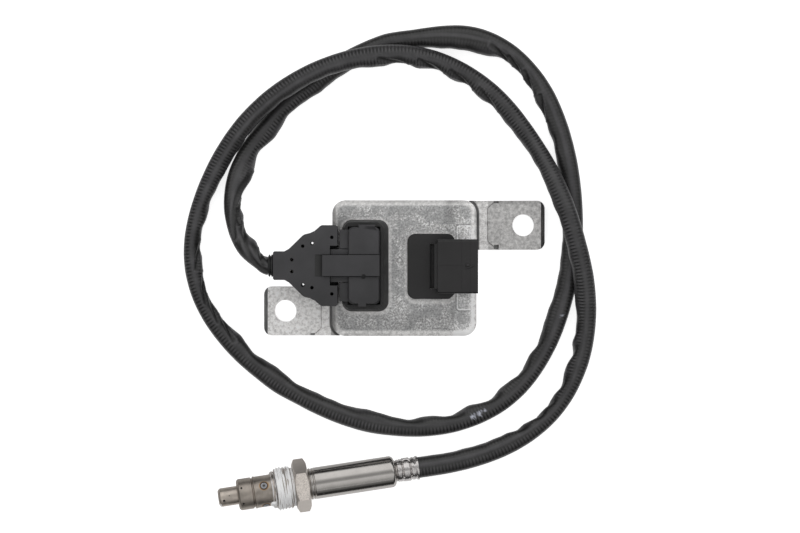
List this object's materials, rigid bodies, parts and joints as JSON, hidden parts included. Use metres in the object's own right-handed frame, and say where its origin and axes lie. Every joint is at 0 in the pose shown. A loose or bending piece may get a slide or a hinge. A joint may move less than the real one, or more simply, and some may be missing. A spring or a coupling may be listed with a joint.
{
  "type": "nitrogen oxide sensor",
  "caption": "Exhaust gas sensor: a screw-in steel probe on a sleeved cable, plugged into a cast control unit with two bolt ears and a vehicle connector.",
  "frame": {"origin": "midway between the two bolt holes of the control unit, on its mounting face", "axes": "+Z out of the mounting face towards the connectors; +X along the control unit towards the mouth of the vehicle connector; +Y across it, away from the probe"},
  "size_m": [0.196, 0.2311, 0.0336],
  "materials": {
    "cast_aluminium": "as cast, lightly blasted",
    "plate_aluminium": "rolled sheet",
    "dark_sealant": "cured bead",
    "zinc_steel": "zinc plated",
    "board_green": "solder mask",
    "chip_black": "moulded packages",
    "header_plastic": "glass filled, matte",
    "connector_plastic": "glass filled, matte",
    "plug_plastic": "matte",
    "cover_plastic": "matte",
    "red_silicone": "soft",
    "gold_contact": "plated",
    "tin_contact": "tin plated",
    "wire_jacket": "fluoropolymer",
    "collar_rubber": "matte",
    "cable_jacket": "satin, over a corrugated conduit",
    "bright_steel": "bright, crimped",
    "polished_steel": "drawn and polished",
    "satin_steel": "turned",
    "screw_steel": "satin",
    "tube_steel": "turned, heat tinted at the welds",
    "white_ceramic": "sintered",
    "grey_talc": "pressed powder"
  },
  "bodies": {
    "unit": {"housing": "cast_aluminium", "base_plate": "plate_aluminium", "base_seal": "dark_sealant", "base_screws": "zinc_steel", "circuit_board": "board_green", "board_parts": "chip_black", "board_screws": "zinc_steel", "sensor_header": "header_plastic", "sensor_header_seal": "red_silicone", "sensor_terminals": "gold_contact", "vehicle_header": "connector_plastic", "vehicle_header_seal": "red_silicone", "vehicle_terminals": "tin_contact", "plug_body": "plug_plastic", "plug_contacts": "tin_contact", "plug_lock": "plug_plastic", "wire_cover_top": "cover_plastic", "wire_cover_base": "cover_plastic", "lead_wires": "wire_jacket", "cable_collar": "collar_rubber", "cable_sleeve": "cable_jacket", "cable_grommet": "red_silicone", "crimp_ferrule": "bright_steel", "main_sleeve": "polished_steel", "contact_block": "white_ceramic", "contact_springs": "gold_contact", "probe_wires": "wire_jacket", "rear_insulator": "white_ceramic", "talc_ring": "grey_talc", "front_insulator": "white_ceramic", "sensing_element": "white_ceramic", "probe_shell": "satin_steel", "outer_tube": "tube_steel", "tip_tube": "tube_steel"},
    "screw": {"union_screw": "screw_steel"}
  },
  "joints": [
    {"name": "union_screw_turn", "type": "hinge", "parent": "unit", "child": "screw", "pos_m": [-0.05649, -0.10394, 0.0121], "axis": [0.9849, 0.1432, -0.097], "continuous": true}
  ]
}
